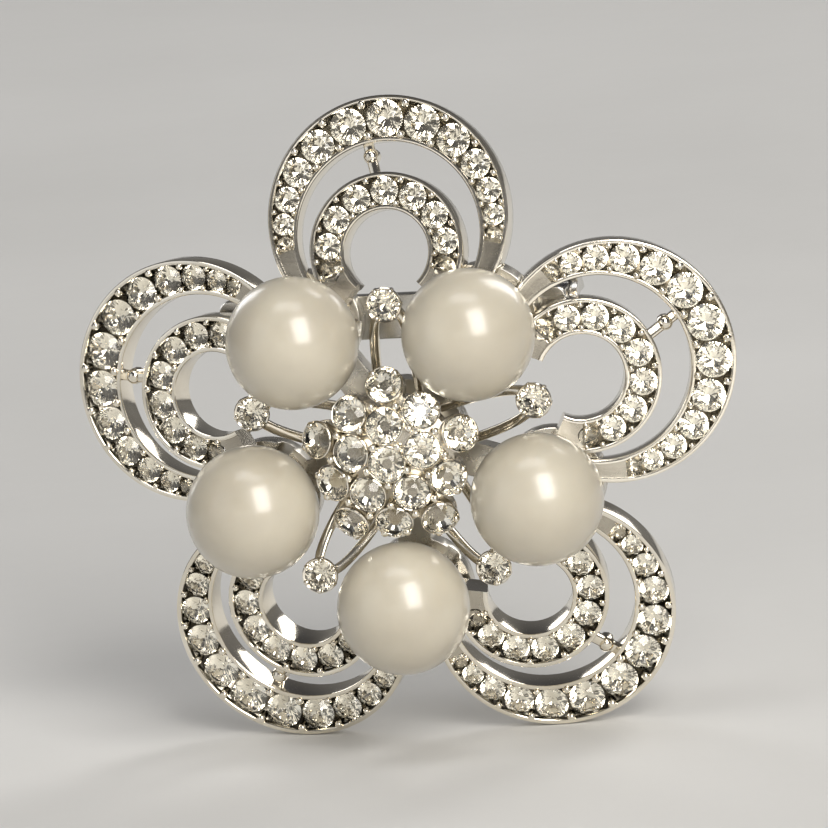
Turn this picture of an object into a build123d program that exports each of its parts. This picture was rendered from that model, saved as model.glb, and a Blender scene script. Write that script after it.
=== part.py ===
from build123d import *
import os
from math import asin, cos, radians, sin, sqrt, tan

# Flower brooch, worn upright. Lengths are in millimetres and angles in degrees.
# +Z is up and +X is to the right of a person who faces the flower. The flower looks towards -Y and the
# pin is on its +Y side. The origin is on the flower's axis, in the plane where the backs of the petal tips
# rest on the garment. "Height" below is the distance in front of that plane, so it is -Y.

os.makedirs("parts", exist_ok=True)

# ---------------------------------------------------------------- driving dimensions

petals = 5
step = 360 / petals
top = 90  # direction of the first petal, seen from the front

# Petal: an outer and an inner horseshoe band, in a plane that leans back towards the tip
droop = 14
loop_distance = 17.1
outer_radius = 9.2
outer_depth = 2.2
outer_opening = 90  # full angle left open towards the hub
inner_lift = 1.2
inner_depth = 2.6
inner_opening = 84
# Each band lies between two edge circles, given as (shift of the centre towards the tip, radius)
outer_band = ((0, outer_radius), (-1.25, 6.95))
inner_band = ((-2.5, 5.85), (-2.65, 3.2))
rim = 0.36
channel_depth = 0.35
edge_round = 0.16
bridge_angle = 14
bridge_width = 0.8
bridge_drop = 0.5
bridge_depth = 1.2

# Round stones
girdle_share = 0.04
crown_share = 0.17
table_share = 0.56
pavilion_share = 0.40
culet_share = 0.06
stone_gap = 0.14
cement = 0.02
row_last_angle = 112
row_search_step = 0.05

# Back frame
frame_back = 3.0
frame_thickness = 1.9
hub_radius = 4.8
arm_width = 2.6
seat_radius = 4.0

# Pearls and their cups
pearl_radius = 5.0
pearl_distance = 11.4
pearl_height = 11.2
cup_radius = 3.2
cup_rim_height = 7.2
peg_radius = 0.45
peg_reach = 4.6  # how far the peg goes up into the pearl
drill_radius = 0.5

# Base settings
base_distance = 11.3
base_radius = 1.45
base_foot_radius = 0.8
base_height = 9.1
base_stone = 2.3
arch_start = 3.6
arch_end_height = 7.3
arch_thickness = 0.9
arch_half_width = 1.9
arch_tip_half_width = 0.75
arch_root = 1.0  # length below the frame's front, which is cut off flush
arch_window_foot = 1.0
arch_window_top = 1.4  # distance from the window's top to the arch's tip
arch_window_half_width = 1.15
arch_window_tip_half_width = 0.05

# Centre setting
dome_height = 13.2
dome_radius = 11.0
dome_stem_radius = 3.4
dome_neck_height = 7.6
dome_edge_height = 9.7
dome_edge_radius = 7.6
centre_stone = 2.6
centre_pitch = 2.95
centre_sink = 0.3
centre_core_radius = 5.3
scallop_radius = 1.45

# Bar pin: hinge on the left, catch on the right, seen from the front
pin_level = 9.2  # Z of the pin
pin_height = -0.6  # the pin is this far behind the garment plane
bar_left = -13.8
bar_right = 12.7
bar_width = 3.4
bar_thickness = 0.9
bar_corner = 0.8
hinge_x = -12.0
ear_radius = 1.4
ear_inside = 0.8
ear_outside = 1.4
bracket_foot = 0.6
rivet_radius = 0.45
rivet_head_radius = 0.8
rivet_head = 0.35
knuckle_radius = 1.25
knuckle_half = 0.75
knuckle_bore = 0.49
root_radius = 0.6
wire_radius = 0.4
wire_start = -10.0
taper_start = 9.5
taper_radius = 0.36  # where the slight taper through the catch meets the sharper point
wire_end = 14.6
wire_point = 3.0
point_radius = 0.05
housing_start = 10.4
housing_end = 12.6
housing_radius = 1.95
housing_bore = 1.3
housing_slot = 1.1
rotor_radius = 1.25
rotor_slot = 1.0
rotor_play = 0.05
flange_radius = 1.75
flange_thickness = 0.6
tab_reach = 3.6
tab_width = 1.3
tab_thickness = 0.5
tab_corner = 0.5
tab_overlap = 0.5  # how far the tab runs into the flange
tab_angle = 100  # from +Y towards +Z, with the catch open

# ---------------------------------------------------------------- derived places

front = Vector(0, -1, 0)
loop_height = outer_radius * sin(radians(droop)) + outer_depth * cos(radians(droop))
frame_front = frame_back + frame_thickness
first_pearl = top - step / 2
bar_rear = -frame_back + bar_thickness  # Y of the pin bar's rear face
pin_y = -pin_height


def outward(angle):
    """Unit vector away from the flower's axis, at an angle seen from the front."""
    return Vector(cos(radians(angle)), 0, sin(radians(angle)))


def petal_plane(angle, lift=0.0):
    """The leaning plane of a petal's face, with its local x towards the tip."""
    away = outward(angle)
    along = away * cos(radians(droop)) - front * sin(radians(droop))
    normal = away * sin(radians(droop)) + front * cos(radians(droop))
    middle = away * loop_distance + front * loop_height
    return Plane(origin=middle, x_dir=along, z_dir=normal).offset(lift)


def band_face(band, inset=0.0):
    """Draws a band's whole ring in the current sketch, narrowed by inset at both edges."""
    (outside_shift, outside_radius), (inside_shift, inside_radius) = band
    with Locations((outside_shift, 0)):
        Circle(outside_radius - inset)
    with Locations((inside_shift, 0)):
        Circle(inside_radius + inset, mode=Mode.SUBTRACT)


def cut_opening(band, opening):
    """Cuts a wedge out of the current sketch, which opens a band's ring towards the hub."""
    shift = band[0][0]
    reach = 2 * outer_radius
    side = reach * tan(radians(opening / 2))
    Polygon((shift, 0), (shift - reach, side), (shift - reach, -side), align=None, mode=Mode.SUBTRACT)


# ---------------------------------------------------------------- stones


def brilliant(diameter):
    """One round stone on its own +Z axis, with its girdle's lower edge at the origin."""
    radius = diameter / 2
    girdle_top = diameter * girdle_share
    table_top = girdle_top + diameter * crown_share
    profile = [
        (0, -diameter * pavilion_share),
        (radius * culet_share, -diameter * pavilion_share),
        (radius, 0),
        (radius, girdle_top),
        (radius * table_share, table_top),
        (0, table_top),
    ]
    with BuildPart() as stone:
        with BuildSketch(Plane.XZ):
            with BuildLine():
                Polyline(profile, close=True)
            make_face()
        revolve(axis=Axis.Z)
    return stone.part


def edge_reach(angle, shift, radius):
    """Distance from the origin to a circle centred at (shift, 0), along an angle."""
    across = shift * sin(radians(angle))
    return shift * cos(radians(angle)) + sqrt(radius**2 - across**2)


def stone_row(band):
    """Round stones along a band, from its tip to both ends, as (x, y, diameter).

    The angle is measured about the centre of the band's outside circle.
    """
    (centre, outside_radius), (inside_shift, inside_radius) = band

    def place(angle):
        """Middle of the band and room between its rims, at an angle."""
        near = edge_reach(angle, inside_shift - centre, inside_radius)
        return (outside_radius + near) / 2, outside_radius - near - 2 * rim

    angle = 0
    middle, diameter = place(angle)
    row = [(centre + middle, 0, diameter)]
    while True:
        next_angle = angle
        while True:
            next_angle += row_search_step
            next_middle, next_diameter = place(next_angle)
            chord = 2 * next_middle * sin(radians((next_angle - angle) / 2))
            if chord >= (diameter + next_diameter) / 2 + stone_gap:
                break
        if next_angle > row_last_angle:
            return row
        angle = next_angle
        diameter = next_diameter
        x = centre + next_middle * cos(radians(angle))
        y = next_middle * sin(radians(angle))
        row += [(x, y, diameter), (x, -y, diameter)]


def seats(plane, band):
    """Places and sizes of a band's stone seats, in the floor of its channel."""
    floor = plane.offset(-channel_depth)
    return [(floor * Location((x, y, 0)), diameter) for x, y, diameter in stone_row(band)]


def stone_hole(diameter):
    """Cuts the seat of one stone at the current location, with the room that its cement takes."""
    Cone(
        bottom_radius=diameter * culet_share,
        top_radius=diameter / 2 + cement,
        height=diameter * pavilion_share + cement,
        align=(Align.CENTER, Align.CENTER, Align.MAX),
        mode=Mode.SUBTRACT,
    )


# ---------------------------------------------------------------- petals

face = petal_plane(top)
raised = petal_plane(top, inner_lift)
outer_seats = seats(face, outer_band)
inner_seats = seats(raised, inner_band)
bridge_in = edge_reach(bridge_angle, *inner_band[0]) - rim
bridge_out = edge_reach(bridge_angle, *outer_band[1]) + rim
bridge_middle = (bridge_in + bridge_out) / 2
bridge_spot = (bridge_middle * cos(radians(bridge_angle)), bridge_middle * sin(radians(bridge_angle)))

with BuildPart() as petal:
    with BuildSketch(face):
        band_face(outer_band)
        cut_opening(outer_band, outer_opening)
    extrude(amount=-outer_depth)
    with BuildSketch(raised):
        band_face(inner_band)
        cut_opening(inner_band, inner_opening)
    extrude(amount=-inner_depth)
    # Rounded edges where a finger would touch the two bands
    face_edges = petal.faces().filter_by(lambda f: f.normal_at().dot(face.z_dir) > 0.999).edges()
    fillet(face_edges.filter_by(GeomType.CIRCLE), radius=edge_round)
    with BuildSketch(face.offset(-bridge_drop)):
        with Locations(Location(bridge_spot, bridge_angle)):
            Rectangle(bridge_out - bridge_in, bridge_width)
    extrude(amount=-bridge_depth)
    # Channels between the rims, and the stones' seats in them
    for plane, band in ((face, outer_band), (raised, inner_band)):
        with BuildSketch(plane):
            band_face(band, rim)
        extrude(amount=-channel_depth, mode=Mode.SUBTRACT)
    for spot, diameter in outer_seats + inner_seats:
        with Locations(spot):
            stone_hole(diameter)
    # The legs end against the pearl cups
    with BuildSketch(Plane.XZ):
        with PolarLocations(pearl_distance, petals, start_angle=first_pearl):
            Circle(cup_radius)
    extrude(amount=frame_front + pearl_height, mode=Mode.SUBTRACT)

outer_gems = [(spot * Location((0, 0, cement)), brilliant(diameter)) for spot, diameter in outer_seats]
inner_gems = [(spot * Location((0, 0, cement)), brilliant(diameter)) for spot, diameter in inner_seats]

with BuildPart() as outer_stones:
    for spot, gem in outer_gems:
        with Locations(spot):
            add(gem)

with BuildPart() as inner_stones:
    for spot, gem in inner_gems:
        with Locations(spot):
            add(gem)

# ---------------------------------------------------------------- base settings

arch_run = base_distance - arch_start
arch_slope = (arch_end_height - frame_front) / arch_run
arch_length = sqrt(arch_run**2 + (arch_end_height - frame_front) ** 2)
arch_rise = front * (arch_slope * arch_run / arch_length)
arch_along = outward(top) * (arch_run / arch_length) + arch_rise
arch_origin = outward(top) * arch_start + front * frame_front
arch_plane = Plane(origin=arch_origin, x_dir=(1, 0, 0), z_dir=Vector(1, 0, 0).cross(arch_along))


def trapezium(foot_half_width, foot, tip_half_width, tip):
    """Corners of an upright figure that narrows from its foot to its tip."""
    return [(-foot_half_width, foot), (foot_half_width, foot), (tip_half_width, tip), (-tip_half_width, tip)]


arch_outline = trapezium(arch_half_width, -arch_root, arch_tip_half_width, arch_length)
arch_window = trapezium(
    arch_window_half_width, arch_window_foot, arch_window_tip_half_width, arch_length - arch_window_top
)

with BuildPart() as base_setting:
    with BuildSketch(arch_plane):
        Polygon(*arch_outline, align=None)
        Polygon(*arch_window, align=None, mode=Mode.SUBTRACT)
    extrude(amount=arch_thickness)
    split(bisect_by=Plane.XZ.offset(frame_front), keep=Keep.TOP)
    with BuildSketch(Plane.XZ):
        Circle(dome_stem_radius)
    extrude(amount=dome_height, mode=Mode.SUBTRACT)
    with BuildSketch(Plane.XZ.offset(arch_end_height)):
        with Locations((0, base_distance)):
            Circle(base_foot_radius)
    with BuildSketch(Plane.XZ.offset(base_height)):
        with Locations((0, base_distance)):
            Circle(base_radius)
    loft()
    with BuildSketch(Plane.XZ.offset(base_height)):
        with Locations((0, base_distance)):
            Circle(base_stone / 2 + cement)
    extrude(amount=-channel_depth, mode=Mode.SUBTRACT)
    with Locations(Plane.XZ.offset(base_height - channel_depth) * Location((0, base_distance, 0))):
        stone_hole(base_stone)

base_gem = brilliant(base_stone)
base_spot = Plane.XZ.offset(base_height - channel_depth + cement) * Location((0, base_distance, 0))

with BuildPart() as base_gem_placed:
    with Locations(base_spot):
        add(base_gem)

# ---------------------------------------------------------------- pearls and cups

pearl_spot = outward(first_pearl) * pearl_distance + front * pearl_height
pearl_flat = (pearl_spot.X, pearl_spot.Z)

with BuildPart() as pearl:
    with Locations(pearl_spot):
        Sphere(pearl_radius)
    with BuildSketch(Plane.XZ.offset(pearl_height - pearl_radius)):
        with Locations(pearl_flat):
            Circle(drill_radius)
    extrude(amount=peg_reach + 2 * cement, mode=Mode.SUBTRACT)

with BuildPart() as pearl_cup:
    with BuildSketch(Plane.XZ.offset(frame_front)):
        with Locations(pearl_flat):
            Circle(cup_radius)
    extrude(amount=cup_rim_height - frame_front)
    with Locations(pearl_spot):
        Sphere(pearl_radius + cement, mode=Mode.SUBTRACT)
    with BuildSketch(Plane.XZ.offset(frame_front)):
        with Locations(pearl_flat):
            Circle(peg_radius)
    extrude(amount=pearl_height - pearl_radius + peg_reach - frame_front)

# ---------------------------------------------------------------- copies round the flower

for number in range(petals):
    turn = (0, step * number, 0)
    suffix = number + 1
    rounds = {
        f"petal_{suffix}": petal.part,
        f"outer_stones_{suffix}": outer_stones.part,
        f"inner_stones_{suffix}": inner_stones.part,
        f"base_setting_{suffix}": base_setting.part,
        f"base_stone_{suffix}": base_gem_placed.part,
        f"pearl_{suffix}": pearl.part,
        f"pearl_cup_{suffix}": pearl_cup.part,
    }
    for name, shape in rounds.items():
        with BuildPart() as placed:
            add(shape, rotation=turn)
        placed.part.label = name
        export_step(placed.part, f"parts/{name}.step")

# ---------------------------------------------------------------- back frame

with BuildPart() as back_frame:
    with BuildSketch(Plane.XZ.offset(frame_back)):
        Circle(hub_radius)
        with PolarLocations(pearl_distance / 2, petals, start_angle=first_pearl):
            Rectangle(pearl_distance, arm_width)
        with PolarLocations(pearl_distance, petals, start_angle=first_pearl):
            Circle(seat_radius)
    extrude(amount=frame_thickness)
    # Sloping notches that the petals' legs are let into
    for number in range(petals):
        angle = top - step * number
        with BuildSketch(petal_plane(angle, -outer_depth)):
            band_face(outer_band)
        extrude(amount=frame_thickness + outer_depth, mode=Mode.SUBTRACT)
        with BuildSketch(petal_plane(angle, inner_lift - inner_depth)):
            band_face(inner_band)
        extrude(amount=inner_depth, mode=Mode.SUBTRACT)
    with BuildSketch(Plane.XZ.offset(frame_back)):
        with PolarLocations(pearl_distance, petals, start_angle=first_pearl):
            Circle(cup_radius)
        with PolarLocations(pearl_distance / 2, petals, start_angle=first_pearl):
            Rectangle(pearl_distance, arm_width)
        Circle(hub_radius)
    extrude(amount=frame_thickness)

back_frame.part.label = "back_frame"
export_step(back_frame.part, "parts/back_frame.step")

# ---------------------------------------------------------------- centre setting

centre_row = [(0, 0)]
for number in range(petals):
    angle = radians(top - step * number)
    between = radians(top - step * (number + 0.5))
    point = (2 * centre_pitch * cos(angle), 2 * centre_pitch * sin(angle))
    valley_reach = 2 * centre_pitch * cos(radians(step / 2))
    valley = (valley_reach * cos(between), valley_reach * sin(between))
    centre_row += [(centre_pitch * cos(angle), centre_pitch * sin(angle)), point, valley]
dome_middle = front * (dome_height - dome_radius)


def dome_plane(x, z, lift):
    """Plane that touches the dome above the point (x, z), moved out by lift."""
    rise = sqrt(dome_radius**2 - x**2 - z**2)
    normal = Vector(x, -rise, z).normalized()
    return Plane(origin=dome_middle + normal * (dome_radius + lift), z_dir=normal)


centre_seats = [dome_plane(x, z, -centre_sink) for x, z in centre_row]
rim_height = dome_height - dome_radius + sqrt(dome_radius**2 - dome_edge_radius**2)
half_way = asin(dome_edge_radius / dome_radius) / 2
arc_middle = (dome_radius * sin(half_way), dome_height - dome_radius + dome_radius * cos(half_way))

with BuildPart() as centre_setting:
    # Local y of this plane is -Y, so the profile is drawn as (radius, -height)
    with BuildSketch(Plane.XY):
        with BuildLine():
            Polyline(
                (0, -dome_height),
                (0, -frame_front),
                (dome_stem_radius, -frame_front),
                (dome_stem_radius, -dome_neck_height),
                (dome_edge_radius, -dome_edge_height),
                (dome_edge_radius, -rim_height),
            )
            ThreePointArc(
                (dome_edge_radius, -rim_height),
                (arc_middle[0], -arc_middle[1]),
                (0, -dome_height),
            )
        make_face()
    revolve(axis=Axis.Y)
    with BuildSketch(Plane.XZ.offset(dome_neck_height)):
        with Locations(*centre_row):
            Circle(scallop_radius)
        Circle(centre_core_radius)
    extrude(amount=dome_height, mode=Mode.INTERSECT)
    with BuildSketch(Plane.XZ.offset(frame_front)):
        Circle(dome_stem_radius)
    extrude(amount=dome_neck_height - frame_front)
    for seat in centre_seats:
        with Locations(seat):
            Cylinder(
                centre_stone / 2 + cement,
                2 * centre_sink,
                align=(Align.CENTER, Align.CENTER, Align.MIN),
                mode=Mode.SUBTRACT,
            )
            stone_hole(centre_stone)

centre_setting.part.label = "centre_setting"
export_step(centre_setting.part, "parts/centre_setting.step")

centre_gem = brilliant(centre_stone)

with BuildPart() as centre_stones:
    for seat in centre_seats:
        with Locations(seat.offset(cement)):
            add(centre_gem)

centre_stones.part.label = "centre_stones"
export_step(centre_stones.part, "parts/centre_stones.step")

# ---------------------------------------------------------------- bar pin

bar_middle = ((bar_left + bar_right) / 2, pin_level)

with BuildPart() as pin_bar:
    with BuildSketch(Plane.XZ.offset(frame_back)):
        with Locations(bar_middle):
            RectangleRounded(bar_right - bar_left, bar_width, bar_corner)
    extrude(amount=-bar_thickness)

pin_bar.part.label = "pin_bar"
export_step(pin_bar.part, "parts/pin_bar.step")

with BuildPart() as hinge_bracket:
    # Two ears across the pin's swing, on a foot that is soldered to the bar
    with BuildSketch(Plane.XY.offset(pin_level - ear_outside)):
        with Locations((hinge_x, pin_y)):
            Circle(ear_radius)
        with Locations((hinge_x, (bar_rear + pin_y) / 2)):
            Rectangle(2 * ear_radius, pin_y - bar_rear)
    extrude(amount=2 * ear_outside)
    with BuildSketch(Plane.XY.offset(pin_level - ear_inside)):
        with Locations((hinge_x, bar_rear + bracket_foot)):
            Rectangle(2 * ear_radius, 3 * ear_radius + pin_y, align=(Align.CENTER, Align.MIN))
    extrude(amount=2 * ear_inside, mode=Mode.SUBTRACT)
    with BuildSketch(Plane.XY.offset(pin_level - ear_outside)):
        with Locations((hinge_x, pin_y)):
            Circle(rivet_radius)
    extrude(amount=2 * ear_outside, mode=Mode.SUBTRACT)

hinge_bracket.part.label = "hinge_bracket"
export_step(hinge_bracket.part, "parts/hinge_bracket.step")

with BuildPart() as hinge_rivet:
    with BuildSketch(Plane.XY.offset(pin_level - ear_outside - rivet_head)):
        with Locations((hinge_x, pin_y)):
            Circle(rivet_head_radius)
    extrude(amount=rivet_head)
    with BuildSketch(Plane.XY.offset(pin_level - ear_outside)):
        with Locations((hinge_x, pin_y)):
            Circle(rivet_radius)
    extrude(amount=2 * ear_outside)
    with BuildSketch(Plane.XY.offset(pin_level + ear_outside)):
        with Locations((hinge_x, pin_y)):
            Circle(rivet_head_radius)
    extrude(amount=rivet_head)

hinge_rivet.part.label = "hinge_rivet"
export_step(hinge_rivet.part, "parts/hinge_rivet.step")

with BuildPart() as pin_stem:
    with BuildSketch(Plane.XY.offset(pin_level - knuckle_half)):
        with Locations((hinge_x, pin_y)):
            Circle(knuckle_radius)
    extrude(amount=2 * knuckle_half)
    # The wire, from a thick root at the knuckle to the point beyond the catch, tapering from the catch on
    with BuildSketch(Plane.XY.offset(pin_level)):
        with BuildLine():
            Polyline(
                (hinge_x, pin_y),
                (hinge_x, pin_y + root_radius),
                (hinge_x + knuckle_radius, pin_y + root_radius),
                (wire_start, pin_y + wire_radius),
                (taper_start, pin_y + wire_radius),
                (wire_end - wire_point, pin_y + taper_radius),
                (wire_end, pin_y + point_radius),
                (wire_end, pin_y),
                close=True,
            )
        make_face()
    revolve(axis=Axis((hinge_x, pin_y, pin_level), (1, 0, 0)))
    with BuildSketch(Plane.XY.offset(pin_level - knuckle_half)):
        with Locations((hinge_x, pin_y)):
            Circle(knuckle_bore)
    extrude(amount=2 * knuckle_half, mode=Mode.SUBTRACT)

pin_stem.part.label = "pin_stem"
export_step(pin_stem.part, "parts/pin_stem.step")

housing_length = housing_end - housing_start
housing_foot = pin_y - housing_bore - bar_rear

with BuildPart() as catch_housing:
    with BuildSketch(Plane.YZ.offset(housing_start)):
        with Locations((pin_y, pin_level)):
            Circle(housing_radius)
        with Locations((bar_rear + housing_foot / 2, pin_level)):
            Rectangle(housing_foot, 2 * housing_bore)
        with Locations((pin_y, pin_level)):
            Circle(housing_bore, mode=Mode.SUBTRACT)
        with Locations((pin_y + housing_radius, pin_level)):
            Rectangle(2 * housing_radius, housing_slot, mode=Mode.SUBTRACT)
    extrude(amount=housing_length)

catch_housing.part.label = "catch_housing"
export_step(catch_housing.part, "parts/catch_housing.step")

rotor_start = housing_start - rotor_play - flange_thickness
rotor_end = housing_end + rotor_play + flange_thickness
tab_middle = (flange_radius - tab_overlap + tab_reach) / 2
tab_turn = radians(tab_angle)
tab_spot = (pin_y + tab_middle * cos(tab_turn), pin_level + tab_middle * sin(tab_turn))

with BuildPart() as catch_rotor:
    with BuildSketch(Plane.YZ.offset(rotor_start)):
        with Locations((pin_y, pin_level)):
            Circle(flange_radius)
    extrude(amount=flange_thickness)
    with BuildSketch(Plane.YZ.offset(rotor_start)):
        with Locations((pin_y, pin_level)):
            Circle(rotor_radius)
    extrude(amount=rotor_end - rotor_start)
    with BuildSketch(Plane.YZ.offset(rotor_end)):
        with Locations((pin_y, pin_level)):
            Circle(flange_radius)
    extrude(amount=-flange_thickness)
    with BuildSketch(Plane.YZ.offset(rotor_end)):
        with Locations(Location(tab_spot, tab_angle)):
            RectangleRounded(tab_reach - flange_radius + tab_overlap, tab_width, tab_corner)
    extrude(amount=-tab_thickness)
    with BuildSketch(Plane.YZ.offset(rotor_start)):
        with Locations((pin_y, pin_level)):
            Circle(rotor_slot / 2)
        with Locations((pin_y + flange_radius, pin_level)):
            Rectangle(2 * flange_radius, rotor_slot)
    extrude(amount=rotor_end - rotor_start, mode=Mode.SUBTRACT)

catch_rotor.part.label = "catch_rotor"
export_step(catch_rotor.part, "parts/catch_rotor.step")
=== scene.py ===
from math import cos, pi, radians, sin, sqrt, tan

import bmesh
import bpy
import numpy as np
from mathutils import Matrix, Vector


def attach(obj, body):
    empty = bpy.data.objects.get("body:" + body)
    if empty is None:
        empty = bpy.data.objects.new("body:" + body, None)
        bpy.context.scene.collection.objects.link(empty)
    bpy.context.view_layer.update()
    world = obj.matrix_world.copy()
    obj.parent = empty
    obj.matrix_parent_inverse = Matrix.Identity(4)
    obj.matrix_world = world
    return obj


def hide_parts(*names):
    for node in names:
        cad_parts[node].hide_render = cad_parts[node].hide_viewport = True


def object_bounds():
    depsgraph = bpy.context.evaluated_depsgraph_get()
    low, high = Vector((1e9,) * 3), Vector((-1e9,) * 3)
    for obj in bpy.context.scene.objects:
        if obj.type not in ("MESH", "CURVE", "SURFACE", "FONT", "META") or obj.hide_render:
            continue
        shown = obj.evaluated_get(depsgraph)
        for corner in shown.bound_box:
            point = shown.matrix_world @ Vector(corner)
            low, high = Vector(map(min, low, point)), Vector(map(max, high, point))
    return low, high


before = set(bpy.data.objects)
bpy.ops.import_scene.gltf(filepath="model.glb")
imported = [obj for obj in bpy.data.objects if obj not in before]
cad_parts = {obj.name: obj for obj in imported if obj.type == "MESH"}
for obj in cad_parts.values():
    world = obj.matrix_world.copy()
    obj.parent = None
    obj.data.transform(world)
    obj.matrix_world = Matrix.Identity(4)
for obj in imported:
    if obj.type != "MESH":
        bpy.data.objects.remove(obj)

# The brooch faces -Y, with +Z up. Shapes are worked out in millimetres and placed in metres.
# "Height" is the distance in front of the plane where the petal tips' backs rest, so it is -Y.

MM = 0.001
cad_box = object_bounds()
chance = np.random.default_rng(7)

# ---------------------------------------------------------------- dimensions, the main ones from the CAD

PETALS = 5
STEP = 360 / PETALS
TOP = 90

DROOP = 14
LOOP_DISTANCE = 17.1
OUTER_RADIUS = 9.2
POLISHED_OFF = 0.012  # taken off the outer edge of a petal in polishing
OUTER_DEPTH = 2.2
OUTER_VOID = (-1.25, 6.95)  # shift from the loop's centre, and radius
INNER_LIFT = 1.2
INNER_DEPTH = 2.6
INNER_RING = (-2.5, 5.85)
INNER_HOLE = (-2.65, 3.2)
OUTER_END = 131  # where a leg of the outer band meets the pearl cup
INNER_END = 138
RIM = 0.36
GRAIN_SINK = 0.06  # the springing of a grain prong's head, below the rims
GRAIN_FOOT = 0.8  # the depth to which a grain prong is let in
BRIDGE_ANGLE = 14
BRIDGE_NEAR = -0.2  # level of the bridge at the inner band, from the petal's face
BRIDGE_FAR = -0.9  # and at the outer band
BRIDGE_HALF_WIDTH = 0.4
BRIDGE_HALF_DEPTH = 0.42
KNOP_PLACE = 0.56  # share of the way out along the bridge
KNOP_RADIUS = 0.62
KNOP_RISE = 0.15
KNOP_FOOT = 0.6

FRAME_FRONT = 4.9
PEARL_RADIUS = 5.0
PEARL_DISTANCE = 11.4
PEARL_HEIGHT = 11.2
CUP_RADIUS = 3.2
CUP_RIM_HEIGHT = 7.2
CUP_LIP = 0.26  # width of the flat lip
SEAT_INSET = 0.28  # of the pearl's seat, from the cup's radius
SEAT_FOOT = -84.5  # degrees round the pearl, where its seat meets the peg
CUP_COLLAR = 0.45  # height of the straight collar under the lip
CUP_FOOT_INSET = 0.25  # from the cup's radius, like the two below
CUP_WAIST_INSET = 0.55
CUP_COLLAR_INSET = 0.2
CUP_WAIST_RISE = 0.9
CEMENT = 0.03  # between a pearl and its cup
PEG_RADIUS = 0.45
PEG_POINT = 0.2  # length of the taper at its top
PEG_TIP_RADIUS = 0.3
PEG_ROOM = 0.05  # between the peg's top and the end of the hole
DRILL_RADIUS = 0.5
DRILL_DEPTH = 4.6

BASE_DISTANCE = 11.3
BASE_COLLET_DEPTH = 1.75
BASE_COLLET_FOOT = 0.72
BASE_COLLET_WALL = 0.2
BASE_PRONGS = 6
ARCH_START = 3.7
ARCH_START_RISE = 0.3
ARCH_END_HEIGHT = 7.4
ARCH_HALF_WIDTH = 1.5
LEG_HALF_WIDTH = 0.36
LEG_HALF_DEPTH = 0.42

DOME_HEIGHT = 13.2
DOME_RADIUS = 11.0
DOME_STEM = 3.4
DOME_NECK = 7.6
SCALLOP = 1.45
DOME_CORE = 5.3
DOME_DROP = 1.0  # of the plate's surface, below the dome on which the girdles lie
PLATE_BACK = 9.15  # heights of the plate's back and edge
PLATE_BEND = 9.3
PLATE_EDGE = 9.5
CENTRE_COLLET_DEPTH = 1.25
CENTRE_COLLET_FOOT = 0.75
NEIGHBOUR_REACH = 3.9  # centre stones nearer than this share a prong
EDGE_STONES_FROM = 4.2  # distance from the axis at which a stone has prongs outside it
EDGE_PRONG_REACH = 1.32
CENTRE_PRONG_RADIUS = 0.31
CENTRE_PRONG_RISE = 0.2
CENTRE_PRONG_FOOT = 1.1
CENTRE_PRONG_SINK = 0.3  # below the dome

COLLET_WALL = 0.13
COLLET_RISE = 0.03  # of a collet's outer edge, above the girdle
COLLET_FLOOR = 0.22
STONE_ROOM = 0.01  # between a stone and its collet

FRONT = Vector((0, -1, 0))
LOOP_HEIGHT = OUTER_RADIUS * sin(radians(DROOP)) + OUTER_DEPTH * cos(radians(DROOP))


def outward(angle):
    """Unit vector away from the flower's axis, at an angle seen from the front."""
    return Vector((cos(radians(angle)), 0, sin(radians(angle))))


def placing(origin, x_axis, z_axis):
    """Matrix from a local frame, in millimetres, to the row frame, in metres."""
    z_axis = Vector(z_axis).normalized()
    y_axis = z_axis.cross(Vector(x_axis)).normalized()
    x_axis = y_axis.cross(z_axis)
    turn = Matrix((x_axis, y_axis, z_axis)).transposed().to_4x4()
    return Matrix.Scale(MM, 4) @ Matrix.Translation(Vector(origin)) @ turn


def petal_frame(angle, lift=0.0):
    """The leaning frame of a petal's face: x to the tip, z towards the viewer."""
    away = outward(angle)
    along = away * cos(radians(DROOP)) - FRONT * sin(radians(DROOP))
    normal = away * sin(radians(DROOP)) + FRONT * cos(radians(DROOP))
    middle = away * LOOP_DISTANCE + FRONT * LOOP_HEIGHT + normal * lift
    return placing(middle, along, normal)


def facing(x, z, height=0.0):
    """Frame at a point of the flower's face plane, with z towards the viewer."""
    return placing(Vector((x, 0, z)) + FRONT * height, (1, 0, 0), FRONT)


# ---------------------------------------------------------------- mesh building


def rounded(corners, steps=3):
    """Closed outline whose corners (x, y, radius) are turned into short arcs."""
    outline = []
    for index, (x, y, radius) in enumerate(corners):
        point = Vector((x, y))
        before = (Vector(corners[index - 1][:2]) - point).normalized()
        after = (Vector(corners[(index + 1) % len(corners)][:2]) - point).normalized()
        cut = radius / tan(before.angle(after) / 2)
        start = point + before * cut
        end = point + after * cut
        for share in np.linspace(0, 1, steps + 1):
            near = start * (1 - share) ** 2 + point * (2 * share * (1 - share))
            outline.append(tuple(near + end * share**2))
    return outline


NO_LENGTH = 1e-8  # metres, an edge shorter than this is removed


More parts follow.
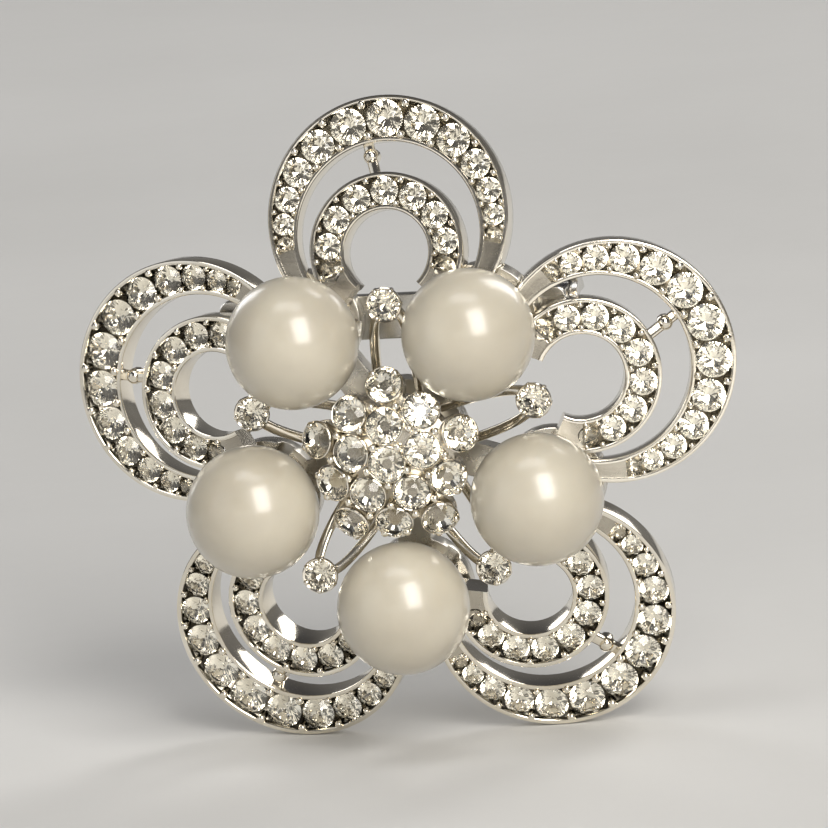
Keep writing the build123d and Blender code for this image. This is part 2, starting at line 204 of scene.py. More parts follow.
class Shape:
    """The points and faces of one piece, in metres, with a material index for each face."""

    def __init__(self):
        self.points = []
        self.faces = []
        self.materials = []

    def add(self, matrix, points, faces, material=0):
        """Adds a patch of points, in millimetres, through a placing matrix."""
        first = len(self.points)
        self.points += [matrix @ Vector(p) for p in points]
        self.faces += [tuple(first + i for i in face) for face in faces]
        if isinstance(material, int):
            material = [material] * len(faces)
        self.materials += material

    def loft(self, matrix, rings, material=0, band_materials=None):
        """Closed tube through rings of equal length, with a cap at each end."""
        count = len(rings[0])
        points = [p for ring in rings for p in ring]
        faces = []
        materials = []
        for i in range(len(rings) - 1):
            for j in range(count):
                a = i * count + j
                b = i * count + (j + 1) % count
                faces.append((a, b, b + count, a + count))
                materials.append(band_materials[j] if band_materials else material)
        faces.append(tuple(range(count))[::-1])
        faces.append(tuple(range(len(points) - count, len(points))))
        self.add(matrix, points, faces, materials + [material, material])

    def lathe(self, matrix, profile, segments=32, material=0):
        """Solid turned round the local z axis, from a profile of (radius, z) with its ends on the axis."""
        points = []
        rings = []
        for radius, z in profile:
            if radius == 0:
                rings.append([len(points)])
                points.append((0, 0, z))
                continue
            rings.append(list(range(len(points), len(points) + segments)))
            for k in range(segments):
                turn = 2 * pi * k / segments
                points.append((radius * cos(turn), radius * sin(turn), z))
        faces = []
        for low, high in zip(rings, rings[1:]):
            for k in range(segments):
                n = (k + 1) % segments
                if len(low) == 1:
                    faces.append((low[0], high[n], high[k]))
                elif len(high) == 1:
                    faces.append((low[k], low[n], high[0]))
                else:
                    faces.append((low[k], low[n], high[n], high[k]))
        self.add(matrix, points, faces, material)

    def bead(self, matrix, x, y, z, radius, foot):
        """A prong with a round head, standing on the local plane z = foot."""
        head = [(radius * cos(a), z + radius * sin(a)) for a in np.linspace(0, pi / 2, 5)[:-1]]
        profile = [(0, foot), (radius, foot)] + head + [(0, z + radius)]
        self.lathe(matrix @ Matrix.Translation((x, y, 0)), profile, segments=12)

    def finish(self, name, materials, body="root", replaces=(), sharp=32):
        """Makes the Blender object, rides it on a body and hides the CAD parts that it stands for."""
        mesh = bpy.data.meshes.new(name)
        mesh.from_pydata(self.points, [], self.faces)
        mesh.polygons.foreach_set("material_index", self.materials)
        work = bmesh.new()
        work.from_mesh(mesh)
        bmesh.ops.dissolve_degenerate(work, dist=NO_LENGTH, edges=work.edges)
        bmesh.ops.recalc_face_normals(work, faces=work.faces)
        work.to_mesh(mesh)
        work.free()
        for material in materials:
            mesh.materials.append(material)
        mesh.polygons.foreach_set("use_smooth", [True] * len(mesh.polygons))
        mesh.set_sharp_from_angle(angle=radians(sharp))
        mesh.update()
        made = bpy.data.objects.new(name, mesh)
        bpy.context.scene.collection.objects.link(made)
        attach(made, body)
        if replaces:
            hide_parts(*replaces)
        return made


# ---------------------------------------------------------------- materials


def shader(name, **values):
    """A new material and its principled shader, with plain values on the shader's own sockets."""
    material = bpy.data.materials.new(name)
    material.use_nodes = True
    principled = material.node_tree.nodes["Principled BSDF"]
    for key, value in values.items():
        principled.inputs[key.replace("_", " ")].default_value = value
    return material, principled


def node(material, kind, **values):
    """A node of the material's tree, with values on its properties or input sockets."""
    made = material.node_tree.nodes.new(kind)
    for key, value in values.items():
        if hasattr(made, key):
            setattr(made, key, value)
        else:
            made.inputs[key.replace("_", " ")].default_value = value
    return made


def noise(material, scale, detail=3.0, stretch=(1, 1, 1)):
    """Factor output of a noise in object space, stretched along the axes."""
    links = material.node_tree.links
    place = node(material, "ShaderNodeTexCoord")
    mapping = node(material, "ShaderNodeMapping")
    mapping.inputs["Scale"].default_value = stretch
    texture = node(material, "ShaderNodeTexNoise", Scale=scale, Detail=detail)
    links.new(place.outputs["Object"], mapping.inputs["Vector"])
    links.new(mapping.outputs["Vector"], texture.inputs["Vector"])
    return texture.outputs["Fac"]


def ramp(material, factor, low, high, start=0.3, end=0.7):
    """Colour ramp between two colours, driven by a factor."""
    made = node(material, "ShaderNodeValToRGB")
    made.color_ramp.elements[0].position = start
    made.color_ramp.elements[1].position = end
    made.color_ramp.elements[0].color = (*low, 1)
    made.color_ramp.elements[1].color = (*high, 1)
    material.node_tree.links.new(factor, made.inputs["Fac"])
    return made.outputs["Color"]


def spread(material, factor, low, high):
    """Maps a 0 to 1 factor onto the range low to high."""
    made = node(material, "ShaderNodeMapRange")
    made.inputs["To Min"].default_value = low
    made.inputs["To Max"].default_value = high
    material.node_tree.links.new(factor, made.inputs["Value"])
    return made.outputs["Result"]


def bump(material, principled, factor, strength, distance):
    """Bump from a factor, feeding the shader's normal."""
    made = node(material, "ShaderNodeBump", Strength=strength, Distance=distance)
    material.node_tree.links.new(factor, made.inputs["Height"])
    material.node_tree.links.new(made.outputs["Normal"], principled.inputs["Normal"])


def metal(name, low, high, rough, grain, grain_depth, stretch=(1, 1, 1)):
    """Plated metal: tarnish as soft colour variation, uneven polish and a fine surface grain."""
    material, principled = shader(name, Metallic=1.0)
    links = material.node_tree.links
    links.new(ramp(material, noise(material, 260), low, high), principled.inputs["Base Color"])
    polish = spread(material, noise(material, 900, 5.0, stretch), rough[0], rough[1])
    links.new(polish, principled.inputs["Roughness"])
    bump(material, principled, noise(material, grain, 2.0, stretch), 0.35, grain_depth)
    return material


plate = metal("rhodium_plate", (0.79, 0.73, 0.61), (0.94, 0.89, 0.79), (0.06, 0.18), 2200, 0.000012)
# A darker copy of the plate for the band channels and the cluster's dome: painted shade between the stones
painted_recess_shade = metal("rhodium_painted_shade", (0.38, 0.345, 0.285), (0.60, 0.56, 0.475), (0.18, 0.34), 2600, 0.00002)
cast = metal("rhodium_cast", (0.55, 0.52, 0.46), (0.72, 0.695, 0.635), (0.20, 0.36), 3200, 0.00002)
steel = metal(
    "plated_steel", (0.55, 0.535, 0.50), (0.73, 0.715, 0.68), (0.16, 0.34), 2200, 0.00003, (0.12, 1, 1)
)


def crystal_materials():
    """Clear glass for a stone's crown, and the mirror foil behind its pavilion."""
    glass, principled = shader(
        "crystal_crown", Base_Color=(1.0, 0.988, 0.95, 1), IOR=1.58, Transmission_Weight=1.0
    )
    smear = spread(glass, noise(glass, 1300, 2.0), 0.006, 0.03)
    glass.node_tree.links.new(smear, principled.inputs["Roughness"])
    foil, principled = shader("crystal_foil", Metallic=1.0, Roughness=0.05)
    tone = ramp(foil, noise(foil, 700), (0.94, 0.915, 0.85), (0.99, 0.97, 0.91))
    foil.node_tree.links.new(tone, principled.inputs["Base Color"])
    return glass, foil


glass, foil = crystal_materials()


def pearl_material():
    """Cream imitation nacre: a soft clear coat over faintly mottled ivory."""
    material, principled = shader(
        "cream_nacre",
        Subsurface_Weight=0.15,
        Subsurface_Scale=0.0012,
        Coat_Weight=1.0,
        Coat_Roughness=0.2,
        IOR=1.5,
    )
    principled.inputs["Subsurface Radius"].default_value = (1.0, 0.75, 0.5)
    principled.inputs["Coat IOR"].default_value = 1.5
    links = material.node_tree.links
    tone = ramp(material, noise(material, 170, 4.0), (0.475, 0.43, 0.345), (0.57, 0.525, 0.425))
    links.new(tone, principled.inputs["Base Color"])
    gloss = spread(material, noise(material, 500, 4.0), 0.34, 0.44)
    links.new(gloss, principled.inputs["Roughness"])
    bump(material, principled, noise(material, 1100, 5.0), 0.12, 0.00003)
    return material


nacre = pearl_material()

# ---------------------------------------------------------------- stones


WELD = 1e-6  # metres, points of a CAD mesh this near are one


def islands(node_name):
    """The separate solids of a CAD node, each as an array of its points in millimetres."""
    work = bmesh.new()
    work.from_mesh(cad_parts[node_name].data)
    bmesh.ops.remove_doubles(work, verts=work.verts, dist=WELD)
    work.verts.ensure_lookup_table()
    seen = set()
    found = []
    for vertex in work.verts:
        if vertex.index in seen:
            continue
        seen.add(vertex.index)
        group = [vertex]
        for member in group:
            for edge in member.link_edges:
                other = edge.other_vert(member)
                if other.index not in seen:
                    seen.add(other.index)
                    group.append(other)
        found.append(np.array([v.co for v in group], float) / MM)
    work.free()
    return found


def stone_places(node_name):
    """Each stone of a CAD node as (middle of its girdle, axis, diameter), read from its solid."""
    places = []
    for points in islands(node_name):
        middle = points.mean(0)
        values, vectors = np.linalg.eigh(np.cov((points - middle).T))
        axis = vectors[:, 0] if values[1] - values[0] > values[2] - values[1] else vectors[:, 2]
        along = (points - middle) @ axis
        across = points - middle - np.outer(along, axis)
        reach = np.linalg.norm(across, axis=1)
        girdle = along[reach > reach.max() - GIRDLE_SLACK]
        if girdle.mean() - along.min() < along.max() - girdle.mean():
            axis = -axis
            girdle = -girdle
        places.append((Vector(middle + axis * girdle.min()), Vector(axis), 2 * reach.max()))
    return places


GIRDLE_SLACK = 0.01  # points this near the widest reach belong to a stone's girdle
GIRDLE_TOP = 0.04  # this and the next two are shares of the diameter
TABLE_TOP = 0.21
PAVILION = -0.40


def brilliant():
    """Round brilliant of unit diameter on the local z axis: points, crown faces and pavilion faces."""
    mains = [radians(45 * i) for i in range(8)]
    halves = [a + radians(22.5) for a in mains]
    table_reach = 0.28
    star_reach = 0.40
    lower_reach = 0.12
    crown_slope = (GIRDLE_TOP - TABLE_TOP) / (0.5 - table_reach)
    pavilion_slope = -PAVILION / 0.5
    tilt = cos(radians(22.5))
    star_z = TABLE_TOP + crown_slope * (star_reach * tilt - table_reach)
    lower_z = PAVILION + pavilion_slope * lower_reach * tilt

    def ring(angles, reach, z):
        """Points at equal reach and height."""
        return [(reach * cos(a), reach * sin(a), z) for a in angles]

    rim = [radians(11.25 * i) for i in range(32)]
    points = ring(mains, table_reach, TABLE_TOP) + ring(halves, star_reach, star_z)
    points += ring(rim, 0.5, GIRDLE_TOP) + ring(rim, 0.5, 0)
    points += ring(halves, lower_reach, lower_z) + [(0, 0, PAVILION)]
    table, star, top, low, lower, culet = 0, 8, 16, 48, 80, 88
    crown = [tuple(range(8))]
    back = []
    for i in range(8):
        n = (i + 1) % 8
        before = (i - 1) % 8
        crown.append((table + i, star + i, table + n))
        crown.append((table + i, star + before, top + 4 * i, star + i))
        crown.append((star + i, top + 4 * i, top + 4 * i + 1, top + 4 * i + 2))
        crown.append((star + i, top + 4 * i + 2, top + 4 * i + 3, top + 4 * n))
        back.append((culet, lower + i, low + 4 * i, lower + before))
        back.append((lower + i, low + 4 * i + 2, low + 4 * i + 1, low + 4 * i))
        back.append((lower + i, low + 4 * n, low + 4 * i + 3, low + 4 * i + 2))
    for i in range(32):
        n = (i + 1) % 32
        crown.append((top + i, low + i, low + n, top + n))
    return points, crown, back


def set_stones(node_name):
    """Cuts every stone of a CAD node as a brilliant, each turned at random about its own axis."""
    points, crown, back = brilliant()
    shape = Shape()
    for middle, axis, diameter in stone_places(node_name):
        spin = Matrix.Rotation(chance.uniform(0, 2 * pi), 4, "Z")
        matrix = placing(middle, axis.orthogonal(), axis) @ spin @ Matrix.Scale(diameter, 4)
        shape.add(matrix, points, crown + back, [0] * len(crown) + [1] * len(back))
    return shape.finish(f"cut_{node_name}", [glass, foil], replaces=[node_name], sharp=1)


# ---------------------------------------------------------------- petals


def edge_reach(angle, shift, radius):
    """Distance from the origin to a circle centred at (shift, 0), along an angle."""
    across = shift * sin(radians(angle))
    return shift * cos(radians(angle)) + sqrt(radius**2 - across**2)


def band_section(width, depth, open_share):
    """Cross-section of a set band: round rims, a stone channel and a shallow hollow back.

    open_share is 1 where the channel has its full depth and 0 in the solid ends of the band.
    """
    shelf = 0.03 + 0.39 * open_share
    well = shelf + 0.4 * (width - 2 * RIM) * open_share
    lip = 0.01 + 0.10 * open_share
    bend = 0.01 + 0.04 * open_share
    half = width / 2
    return rounded(
        [
            (0, -depth, 0.16),
            (0, 0, 0.13),
            (RIM, 0, lip),
            (RIM + 0.02, -shelf, bend),
            (half - 0.12, -well, bend),
            (half + 0.12, -well, bend),
            (width - RIM - 0.02, -shelf, bend),
            (width - RIM, 0, lip),
            (width, 0, 0.13),
            (width, -depth, 0.16),
            (width - 0.45, -depth, 0.08),
            (width - 0.55, -depth + 0.4, 0.08),
            (0.55, -depth + 0.4, 0.08),
            (0.45, -depth, 0.08),
        ]
    )


ARC = 4  # points that rounded() makes of each corner
CHANNEL = range(3 * ARC - 1, 7 * ARC)
CHANNEL_ROOM = 3.0  # degrees from the last stone to the solid end of its channel
PRONG_ROOM = 0.4  # degrees from the last stone to the middle of its prongs
PRONG_SHARE = 0.125  # prong radius as a share of the room between the rims


def set_band(shape, matrix, outside, inside, end, depth, gems):
    """One horseshoe band about the outside circle's centre, and the prongs between its stones."""
    matrix = matrix @ Matrix.Translation((outside[0], 0, 0))
    shift = inside[0] - outside[0]
    back = matrix.inverted()
    turns = []
    for middle, _, diameter in gems:
        spot = back @ (middle * MM)
        half_turn = np.degrees(0.5 * diameter / (spot.length / MM))
        turns.append((np.degrees(np.arctan2(spot.y, spot.x)), diameter, half_turn))
    turns.sort()
    channel_end = turns[-1][0] + turns[-1][2] + CHANNEL_ROOM
    rings = []
    for angle in np.linspace(-end, end, 2 * int(end) + 1):
        near = edge_reach(angle, shift, inside[1])
        way = (cos(radians(angle)), sin(radians(angle)))
        open_share = min(max((channel_end - abs(angle)) / CHANNEL_ROOM, 0), 1)
        section = band_section(outside[1] - near, depth, open_share)
        rings.append([(way[0] * (near + t), way[1] * (near + t), z) for t, z in section])
    # The channel faces take material 1, the darker plate copy: painted shade between the stones
    channel = [1 if j in CHANNEL else 0 for j in range(len(rings[0]))]
    shape.loft(matrix, rings, band_materials=channel)
    grips = [
        (angle * next_size + next_angle * size) / (size + next_size)
        for (angle, size, _), (next_angle, next_size, _) in zip(turns, turns[1:])
    ]
    last = turns[-1][0] + turns[-1][2] + PRONG_ROOM
    for angle in grips + [last, -last]:
        near = edge_reach(angle, shift, inside[1])
        radius = PRONG_SHARE * (outside[1] - near - 2 * RIM)
        for reach in (near + RIM + 0.5 * radius, outside[1] - RIM - 0.5 * radius):
            x = reach * cos(radians(angle))
            y = reach * sin(radians(angle))
            shape.bead(matrix, x, y, -GRAIN_SINK, radius, -GRAIN_FOOT)


def rod(shape, matrix, line, half_width, half_depth):
    """Rod with a rounded section along a line of local points, half_width across and half_depth along z."""
    line = [Vector(p) for p in line]
    section = rounded([(-1, -1, 0.6), (-1, 1, 0.6), (1, 1, 0.6), (1, -1, 0.6)])
    rings = []
    for i, point in enumerate(line):
        way = line[min(i + 1, len(line) - 1)] - line[max(i - 1, 0)]
        side = way.cross(Vector((0, 0, 1))).normalized()
        up = side.cross(way).normalized()
        rings.append([point + side * (a * half_width) + up * (b * half_depth) for a, b in section])
    shape.loft(matrix, rings)


def make_petal(number):
    """One petal casting: two set bands and the bridge that joins them."""
    angle = TOP - STEP * (number - 1)
    face = petal_frame(angle)
    raised = petal_frame(angle, INNER_LIFT)
    shape = Shape()
    outer_gems = stone_places(f"outer_stones_{number}")
    inner_gems = stone_places(f"inner_stones_{number}")
    set_band(shape, face, (0, OUTER_RADIUS - POLISHED_OFF), OUTER_VOID, OUTER_END, OUTER_DEPTH, outer_gems)
    set_band(shape, raised, INNER_RING, INNER_HOLE, INNER_END, INNER_DEPTH, inner_gems)
    way = Vector((cos(radians(BRIDGE_ANGLE)), sin(radians(BRIDGE_ANGLE)), 0))
    near = way * (edge_reach(BRIDGE_ANGLE, *INNER_RING) - RIM) + Vector((0, 0, BRIDGE_NEAR))
    far = way * (edge_reach(BRIDGE_ANGLE, *OUTER_VOID) + RIM) + Vector((0, 0, BRIDGE_FAR))
    line = [near.lerp(far, t) for t in np.linspace(0, 1, 5)]
    rod(shape, face, line, BRIDGE_HALF_WIDTH, BRIDGE_HALF_DEPTH)
    knop = near.lerp(far, KNOP_PLACE)
    shape.bead(face, knop.x, knop.y, knop.z + KNOP_RISE, KNOP_RADIUS, knop.z - KNOP_FOOT)
    shape.finish(f"petal_casting_{number}", [plate, painted_recess_shade], replaces=[f"petal_{number}"])


# ---------------------------------------------------------------- pearls and settings


def arc_profile(middle, radius, low, high, steps):
    """Profile points on a circle about (0, middle), from angle low to angle high above the horizon."""
    return [
        (radius * cos(radians(a)), middle + radius * sin(radians(a))) for a in np.linspace(low, high, steps)
    ]


def make_pearl(number):
    """A half-drilled pearl and the cup with a peg that holds it."""
    angle = TOP - STEP * (number - 0.5)
    spot = outward(angle) * PEARL_DISTANCE
    matrix = facing(spot.x, spot.z)
    bottom = PEARL_HEIGHT - PEARL_RADIUS
    mouth = -np.degrees(np.arccos(DRILL_RADIUS / PEARL_RADIUS))
    skin = arc_profile(PEARL_HEIGHT, PEARL_RADIUS, mouth, 90, 72)
    pearl = Shape()
    profile = [(0, bottom + DRILL_DEPTH), (DRILL_RADIUS, bottom + DRILL_DEPTH)] + skin[:-1]
    pearl.lathe(matrix, profile + [(0, PEARL_HEIGHT + PEARL_RADIUS)], segments=120)
    pearl.finish(f"nacre_pearl_{number}", [nacre], replaces=[f"pearl_{number}"])
    seat_radius = PEARL_RADIUS + CEMENT
    seat_edge = -np.degrees(np.arccos((CUP_RADIUS - SEAT_INSET) / seat_radius))
    seat = arc_profile(PEARL_HEIGHT, seat_radius, seat_edge, SEAT_FOOT, 10)
    collar_foot = CUP_RIM_HEIGHT - CUP_COLLAR
    outer = rounded(
        [
            (PEG_RADIUS, FRAME_FRONT, 0.01),
            (CUP_RADIUS - CUP_FOOT_INSET, FRAME_FRONT, 0.05),
            (CUP_RADIUS - CUP_WAIST_INSET, FRAME_FRONT + CUP_WAIST_RISE, 0.5),
            (CUP_RADIUS - CUP_COLLAR_INSET, collar_foot - 0.05, 0.2),
            (CUP_RADIUS, collar_foot, 0.12),
            (CUP_RADIUS, CUP_RIM_HEIGHT, 0.14),
            (CUP_RADIUS - CUP_LIP, CUP_RIM_HEIGHT, 0.05),
        ]
    )[ARC:]
    peg_top = bottom + DRILL_DEPTH - PEG_ROOM
    cup = Shape()
    profile = [(0, FRAME_FRONT)] + outer + seat
    profile += [(PEG_RADIUS, peg_top - PEG_POINT), (PEG_TIP_RADIUS, peg_top), (0, peg_top)]
    cup.lathe(matrix, profile, segments=64)
    cup.finish(f"cup_with_peg_{number}", [plate], replaces=[f"pearl_cup_{number}"])


def collet(shape, matrix, diameter, depth, foot, wall=COLLET_WALL, prongs=0):
    """Open conical collet under a stone whose girdle is at the local origin, with prongs round it."""
    radius = diameter / 2
    profile = [
        (0, -depth),
        (foot, -depth),
        (radius + wall, -0.18),
        (radius + wall + 0.02, COLLET_RISE),
        (radius + wall - 0.05, COLLET_RISE + 0.07),
        (radius + 1.5 * STONE_ROOM, COLLET_RISE + 0.02),
        (radius + STONE_ROOM, -0.04),
        (foot * 0.55, COLLET_FLOOR + 0.03 - depth),
        (0, COLLET_FLOOR - depth),
    ]
    shape.lathe(matrix, profile, segments=40)
    for k in range(prongs):
        turn = 2 * pi * (k + 0.5) / prongs
        reach = radius + 0.02
        shape.bead(matrix, reach * cos(turn), reach * sin(turn), 0.12, 0.1 * diameter, -0.4)


def make_base_setting(number):
    """Small collet on a pointed arch of two bowed legs, at the base of a petal."""
    angle = TOP - STEP * (number - 1)
    away = outward(angle)
    middle, axis, diameter = stone_places(f"base_stone_{number}")[0]
    shape = Shape()
    seat = placing(middle, away, axis)
    collet(shape, seat, diameter, BASE_COLLET_DEPTH, BASE_COLLET_FOOT, BASE_COLLET_WALL, BASE_PRONGS)
    arch = placing((0, 0, 0), away, FRONT)
    for side in (-1, 1):
        line = []
        for share in np.linspace(0, 0.995, 15):
            x = ARCH_START + (BASE_DISTANCE - ARCH_START) * share
            y = side * ARCH_HALF_WIDTH * sqrt(1 - share**3)
            z = FRAME_FRONT + ARCH_START_RISE + (ARCH_END_HEIGHT - FRAME_FRONT) * share
            line.append((x, y, z))
        rod(shape, arch, line, LEG_HALF_WIDTH, LEG_HALF_DEPTH)
    shape.finish(
        f"arched_setting_{number}", [plate], replaces=[f"base_setting_{number}"]
    )


def make_centre():
    """Domed, scalloped cluster: a plate on a stem, and a collet for each stone."""
    gems = stone_places("centre_stones")
    crown = [(g[0].x, g[0].z) for g in gems]
    shape = Shape()
    plate_radius = DOME_RADIUS - DOME_DROP
    shrink = plate_radius / DOME_RADIUS
    turns = np.radians(np.linspace(0, 360, 361)[:-1])

    def reach(turn):
        """Distance to the scalloped outline along a direction."""
        far = DOME_CORE
        for x, z in crown:
            along = x * cos(turn) + z * sin(turn)
            inside = SCALLOP**2 - (x * x + z * z - along * along)
            if inside > 0:
                far = max(far, along + sqrt(inside))
        return far

    edge = [reach(t) for t in turns]

    def level(share, height=None):
        """Ring at a share of the outline, on the plate's dome unless a height is given."""
        ring = []
        for turn, far in zip(turns, edge):
            r = far * share * shrink
            z = DOME_HEIGHT - DOME_RADIUS + sqrt(plate_radius**2 - r * r) if height is None else height
            ring.append((r * cos(turn), r * sin(turn), z))
        return ring

    def stem(radius, height):
        """Plain round ring."""
        return [(radius * cos(t), radius * sin(t), height) for t in turns]

    rings = [stem(0.02, FRAME_FRONT), stem(DOME_STEM, FRAME_FRONT), stem(DOME_STEM, DOME_NECK - 0.6)]
    rings.append(stem(DOME_STEM + 0.35, DOME_NECK + 0.2))
    rings += [level(0.94, PLATE_BACK), level(0.99, PLATE_BEND), level(1.0, PLATE_EDGE)]
    rings += [level(share) for share in (1.0, 0.97, 0.85, 0.7, 0.55, 0.4, 0.25, 0.12, 0.003)]
    # The dome plate takes material 1, the darker plate copy: painted shade round the collets
    shape.loft(facing(0, 0), rings, material=1)
    for middle, axis, diameter in gems:
        seat = placing(middle, axis.orthogonal(), axis)
        collet(shape, seat, diameter, CENTRE_COLLET_DEPTH, CENTRE_COLLET_FOOT)
    dome_middle = FRONT * (DOME_HEIGHT - DOME_RADIUS)
    spots = [g[0] for g in gems]
    near = [
        [j for j in range(len(spots)) if j != i and (spots[i] - spots[j]).length < NEIGHBOUR_REACH]
        for i in range(len(spots))
    ]
    prongs = set()
    for i in range(len(spots)):
        for j in near[i]:
            for k in near[j]:
                if i < j < k and k in near[i]:
                    prongs.add((i, j, k))
    places = [sum((spots[m] for m in trio), Vector()) / 3 for trio in sorted(prongs)]
    for i in range(1, len(spots)):
        flat = Vector((spots[i].x, 0, spots[i].z))
        if flat.length > EDGE_STONES_FROM:
            axis = gems[i][1]
            side = axis.cross(flat.normalized()).normalized()
            for sign in (-1, 1):
                lean = (flat.normalized() * 0.75 + side * sign * 0.66).normalized()
                places.append(spots[i] + lean * EDGE_PRONG_REACH)
    for spot in places:
        normal = (spot - dome_middle).normalized()
        spot_on_dome = dome_middle + normal * (DOME_RADIUS - CENTRE_PRONG_SINK)
        stand = placing(spot_on_dome, normal.orthogonal(), normal)
        shape.bead(stand, 0, 0, CENTRE_PRONG_RISE, CENTRE_PRONG_RADIUS, -CENTRE_PRONG_FOOT)
    shape.finish("centre_cluster", [plate, painted_recess_shade], replaces=["centre_setting"])


# ---------------------------------------------------------------- back frame and pin finding


SAME_POINT = 2e-7  # metres
FLAT_ANGLE = 0.5  # degrees between faces that are joined into one
HARD_ANGLE = 38  # degrees between faces whose edge is broken


def soften(node_name, name, material, body, width):
    """A copy of a CAD node with its outer edges broken by a small bevel."""
    mesh = bpy.data.meshes.new(name)
    work = bmesh.new()
    work.from_mesh(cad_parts[node_name].data)
    bmesh.ops.remove_doubles(work, verts=work.verts, dist=SAME_POINT)
    flat = radians(FLAT_ANGLE)
    bmesh.ops.dissolve_limit(work, angle_limit=flat, verts=work.verts, edges=work.edges)
    hard = [e for e in work.edges if e.is_convex and e.calc_face_angle(0) > radians(HARD_ANGLE)]
    bmesh.ops.bevel(
        work, geom=hard, offset=width * MM, segments=2, profile=0.5, affect="EDGES", clamp_overlap=False
    )
    work.to_mesh(mesh)
    work.free()
    mesh.materials.append(material)
    mesh.polygons.foreach_set("material_index", [0] * len(mesh.polygons))
    mesh.polygons.foreach_set("use_smooth", [True] * len(mesh.polygons))
    mesh.set_sharp_from_angle(angle=radians(30))
    made = bpy.data.objects.new(name, mesh)
    bpy.context.scene.collection.objects.link(made)
    made.modifiers.new("even_shading", "WEIGHTED_NORMAL").keep_sharp = True
    bpy.context.view_layer.update()
    ready = made.evaluated_get(bpy.context.evaluated_depsgraph_get())
    made.data = bpy.data.meshes.new_from_object(ready)
    made.modifiers.clear()
    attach(made, body)
    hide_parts(node_name)


# ---------------------------------------------------------------- the object

for number in range(1, PETALS + 1):
    make_petal(number)
    make_pearl(number)
    make_base_setting(number)
    for kind in ("outer_stones", "inner_stones", "base_stone"):
        set_stones(f"{kind}_{number}")
make_centre()
set_stones("centre_stones")

soften("back_frame", "star_frame", cast, "root", 0.08)
soften("pin_bar", "solder_bar", steel, "root", 0.12)
soften("hinge_bracket", "hinge_ears", steel, "root", 0.06)
soften("hinge_rivet", "rivet", steel, "root", 0.06)
soften("catch_housing", "catch_shell", steel, "root", 0.06)
soften("catch_rotor", "turning_catch", steel, "rotor", 0.05)
soften("pin_stem", "pin_wire", steel, "pin", 0.03)

# ---------------------------------------------------------------- floor, light and camera

low, high = cad_box
middle = (Vector(low) + Vector(high)) / 2


def make_floor():
    """Plain pale matte table top under the lowest petals."""
    floor_mesh = bpy.data.meshes.new("floor")
    size = 1.6
    z = low[2] - 0.00005
    corners = [(-size, -size, z), (size, -size, z), (size, size, z), (-size, size, z)]
    floor_mesh.from_pydata(corners, [], [(0, 1, 2, 3)])
    floor = bpy.data.objects.new("floor", floor_mesh)
    bpy.context.scene.collection.objects.link(floor)
    material, principled = shader("pale_table")
    tone = ramp(material, noise(material, 14, 3.0), (0.63, 0.625, 0.61), (0.69, 0.685, 0.67))
    material.node_tree.links.new(tone, principled.inputs["Base Color"])
    material.node_tree.links.new(
        spread(material, noise(material, 400, 4.0), 0.55, 0.75), principled.inputs["Roughness"]
    )
    floor_mesh.materials.append(material)


def towards(azimuth, elevation):
    """Unit vector from the brooch to a viewer: azimuth 0 is in front of it and 90 on the +X side."""
    level = cos(radians(elevation))
    return Vector((sin(radians(azimuth)) * level, -cos(radians(azimuth)) * level, sin(radians(elevation))))


def make_light(name, azimuth, elevation, size, power, tint=(1, 1, 1), distance=0.75):
    """Rectangular soft light that looks at the brooch."""
    lamp = bpy.data.lights.new(name, "AREA")
    lamp.shape = "RECTANGLE"
    lamp.size, lamp.size_y = size
    lamp.energy = power
    lamp.color = tint
    made = bpy.data.objects.new(name, lamp)
    away = towards(azimuth, elevation)
    made.location = middle + away * distance
    made.rotation_euler = (-away).to_track_quat("-Z", "Y").to_euler()
    bpy.context.scene.collection.objects.link(made)


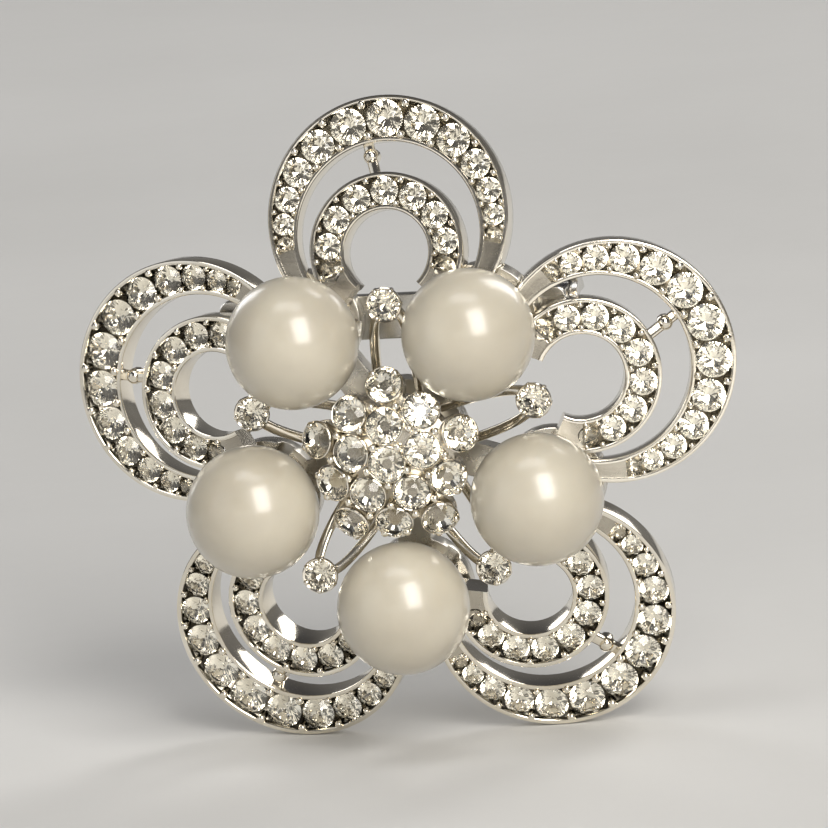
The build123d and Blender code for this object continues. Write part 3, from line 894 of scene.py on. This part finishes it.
def make_world():
    """Dim studio surroundings: a soft band of light round the horizon, dark overhead."""
    world = bpy.data.worlds.new("studio")
    bpy.context.scene.world = world
    world.use_nodes = True
    tree = world.node_tree
    place = tree.nodes.new("ShaderNodeTexCoord")
    split = tree.nodes.new("ShaderNodeSeparateXYZ")
    tone = tree.nodes.new("ShaderNodeValToRGB")
    shift = tree.nodes.new("ShaderNodeMapRange")
    shift.inputs["From Min"].default_value = -1.0
    tree.links.new(place.outputs["Generated"], split.inputs["Vector"])
    tree.links.new(split.outputs["Z"], shift.inputs["Value"])
    tree.links.new(shift.outputs["Result"], tone.inputs["Fac"])
    stops = tone.color_ramp
    stops.elements[0].color = (0.05, 0.05, 0.05, 1)
    stops.elements[0].position = 0.30
    stops.elements[1].color = (0.06, 0.06, 0.065, 1)
    stops.elements[1].position = 0.86
    level = stops.elements.new(0.54)
    level.color = (0.17, 0.165, 0.158, 1)
    tree.links.new(tone.outputs["Color"], tree.nodes["Background"].inputs["Color"])
    tree.nodes["Background"].inputs["Strength"].default_value = 1.0


AZIMUTH = 11.4  # degrees, as are the next two
ELEVATION = 11.7
ROLL = 5.0
CAMERA_DISTANCE = 1.0  # metres
FIELD = 0.062  # metres across the frame at the brooch
AIM = middle + Vector((0.0012, 0, 0.0009))


def make_camera():
    """Long lens from the right and slightly above, turned so that the flower leans a little to the left."""
    lens = bpy.data.cameras.new("camera")
    lens.sensor_width = 36
    lens.lens = lens.sensor_width * CAMERA_DISTANCE / FIELD
    lens.clip_start = 0.01
    made = bpy.data.objects.new("camera", lens)
    away = towards(AZIMUTH, ELEVATION)
    made.location = AIM + away * CAMERA_DISTANCE
    turn = (-away).to_track_quat("-Z", "Y").to_matrix().to_4x4()
    made.rotation_euler = (turn @ Matrix.Rotation(radians(-ROLL), 4, "Z")).to_euler()
    bpy.context.scene.collection.objects.link(made)
    bpy.context.scene.camera = made


make_floor()
make_light("key_window", 31, 32, (0.34, 0.60), 5.9, (1, 0.97, 0.92))
make_light("left_fill", -50, 20, (0.50, 0.60), 0.6, (0.97, 0.985, 1))
make_light("overhead", 0, 78, (0.50, 0.22), 1.0)
make_light("low_front", -6, 9, (0.50, 0.14), 0.2, (1, 0.98, 0.95))
make_light("rear_key", 150, 35, (0.24, 0.50), 1.8, (1, 0.98, 0.95))
make_light("rear_fill", -140, 18, (0.18, 0.45), 1.0)
make_world()
make_camera()
bpy.context.scene.view_settings.view_transform = "Standard"
bpy.context.scene.view_settings.look = "None"
